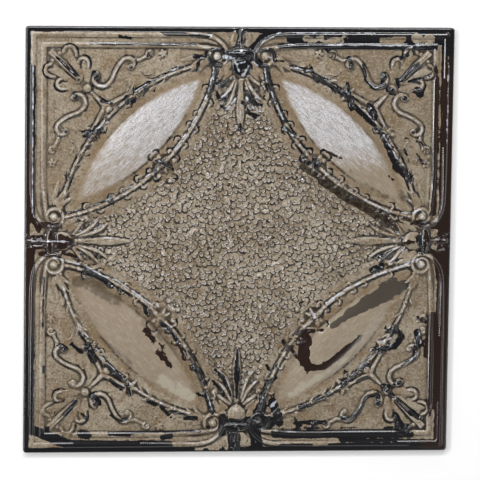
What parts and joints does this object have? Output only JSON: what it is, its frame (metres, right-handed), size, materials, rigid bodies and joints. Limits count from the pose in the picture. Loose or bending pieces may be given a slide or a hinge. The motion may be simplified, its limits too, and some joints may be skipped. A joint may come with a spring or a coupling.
{
  "type": "pressed_tin_ceiling_tile",
  "caption": "Square pressed tin ceiling tile with beaded border, corner volutes, smooth lens panels, garlands and a hammered field, in worn beige paint over black.",
  "frame": {"origin": "centre of the tile, on the plane that its turned-down edges rest on", "axes": "+Z is the face side of the tile, +X and +Y run along its edges"},
  "size_m": [0.6096, 0.6096, 0.0141],
  "materials": {
    "painted_tin": "worn beige paint over black, with a thin clear coat"
  },
  "bodies": {
    "root": {"pressed_sheet": "painted_tin"}
  },
  "joints": []
}
